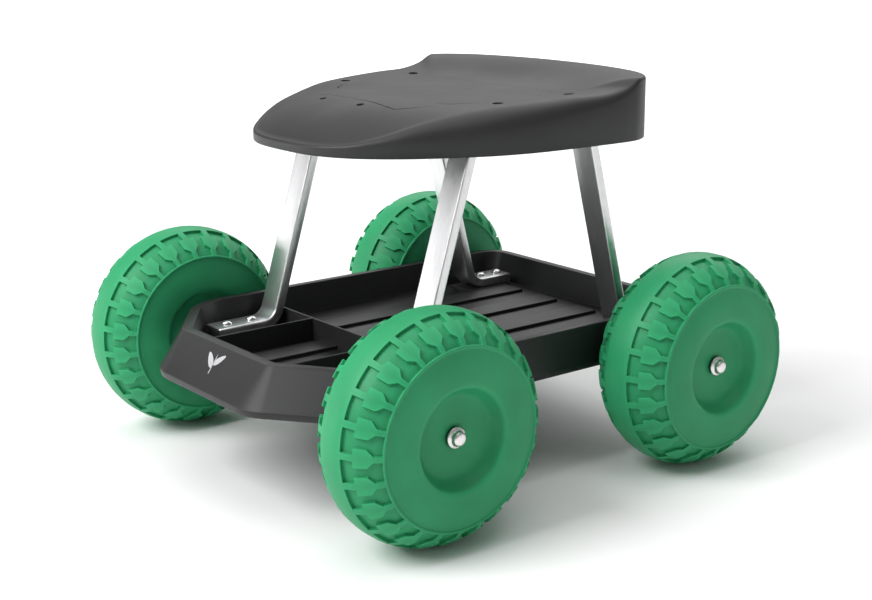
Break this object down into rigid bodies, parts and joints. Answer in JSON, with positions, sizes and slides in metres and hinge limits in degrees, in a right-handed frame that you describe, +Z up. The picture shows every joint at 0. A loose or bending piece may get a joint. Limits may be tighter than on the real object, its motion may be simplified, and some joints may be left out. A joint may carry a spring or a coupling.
{
  "type": "rolling garden work seat",
  "caption": "Low rolling garden seat: moulded saddle seat on bent steel leg frames over a shallow tool tray on wide moulded wheels.",
  "frame": {"origin": "on the ground under the middle of the bounding box, midway between the wheels", "axes": "+Z up; -Y is the front, where the seat narrows and the tray has its sloped nose; +X is the seated person's left; the axles lie along X"},
  "size_m": [0.4892, 0.5074, 0.3585],
  "materials": {
    "seat_plastic": "satin moulded dark grey, fine grain",
    "tray_plastic": "satin moulded near-black, fine grain",
    "wheel_plastic": "satin moulded green",
    "brushed_steel_bar": "brushed along the bar",
    "hub_cap_metal": "satin pressed cap",
    "zinc_fasteners": "zinc plated",
    "black_screws": "black oxide",
    "bush_plastic": "smooth black nylon"
  },
  "bodies": {
    "chassis": {"seat": "seat_plastic", "tray": "tray_plastic", "leg_frame_left": "brushed_steel_bar", "foot_bolt_front_left_1": "zinc_fasteners", "foot_insert_front_left_1": "zinc_fasteners", "foot_bolt_front_left_2": "zinc_fasteners", "foot_insert_front_left_2": "zinc_fasteners", "foot_bolt_rear_left_1": "zinc_fasteners", "foot_insert_rear_left_1": "zinc_fasteners", "foot_bolt_rear_left_2": "zinc_fasteners", "foot_insert_rear_left_2": "zinc_fasteners", "seat_screw_left_1": "black_screws", "seat_nut_left_1": "zinc_fasteners", "seat_screw_left_2": "black_screws", "seat_nut_left_2": "zinc_fasteners", "leg_frame_right": "brushed_steel_bar", "foot_bolt_front_right_1": "zinc_fasteners", "foot_insert_front_right_1": "zinc_fasteners", "foot_bolt_front_right_2": "zinc_fasteners", "foot_insert_front_right_2": "zinc_fasteners", "foot_bolt_rear_right_1": "zinc_fasteners", "foot_insert_rear_right_1": "zinc_fasteners", "foot_bolt_rear_right_2": "zinc_fasteners", "foot_insert_rear_right_2": "zinc_fasteners", "seat_screw_right_1": "black_screws", "seat_nut_right_1": "zinc_fasteners", "seat_screw_right_2": "black_screws", "seat_nut_right_2": "zinc_fasteners", "axle_front": "zinc_fasteners", "axle_spacer_front_left": "bush_plastic", "hub_cap_front_left": "hub_cap_metal", "axle_spacer_front_right": "bush_plastic", "hub_cap_front_right": "hub_cap_metal", "axle_rear": "zinc_fasteners", "axle_spacer_rear_left": "bush_plastic", "hub_cap_rear_left": "hub_cap_metal", "axle_spacer_rear_right": "bush_plastic", "hub_cap_rear_right": "hub_cap_metal", "axle_block_front_left": "tray_plastic", "axle_block_front_middle": "tray_plastic", "axle_block_front_right": "tray_plastic", "axle_block_rear_left": "tray_plastic", "axle_block_rear_middle": "tray_plastic", "axle_block_rear_right": "tray_plastic"},
    "front_left_wheel": {"wheel_front_left": "wheel_plastic", "wheel_bush_outer_front_left": "bush_plastic", "wheel_bush_inner_front_left": "bush_plastic"},
    "front_right_wheel": {"wheel_front_right": "wheel_plastic", "wheel_bush_outer_front_right": "bush_plastic", "wheel_bush_inner_front_right": "bush_plastic"},
    "rear_left_wheel": {"wheel_rear_left": "wheel_plastic", "wheel_bush_outer_rear_left": "bush_plastic", "wheel_bush_inner_rear_left": "bush_plastic"},
    "rear_right_wheel": {"wheel_rear_right": "wheel_plastic", "wheel_bush_outer_rear_right": "bush_plastic", "wheel_bush_inner_rear_right": "bush_plastic"}
  },
  "joints": [
    {"name": "front_left_wheel_spin", "type": "hinge", "parent": "chassis", "child": "front_left_wheel", "pos_m": [0.201, -0.1537, 0.1], "axis": [1, 0, 0], "continuous": true},
    {"name": "front_right_wheel_spin", "type": "hinge", "parent": "chassis", "child": "front_right_wheel", "pos_m": [-0.201, -0.1537, 0.1], "axis": [1, 0, 0], "continuous": true},
    {"name": "rear_left_wheel_spin", "type": "hinge", "parent": "chassis", "child": "rear_left_wheel", "pos_m": [0.201, 0.1537, 0.1], "axis": [1, 0, 0], "continuous": true},
    {"name": "rear_right_wheel_spin", "type": "hinge", "parent": "chassis", "child": "rear_right_wheel", "pos_m": [-0.201, 0.1537, 0.1], "axis": [1, 0, 0], "continuous": true}
  ]
}
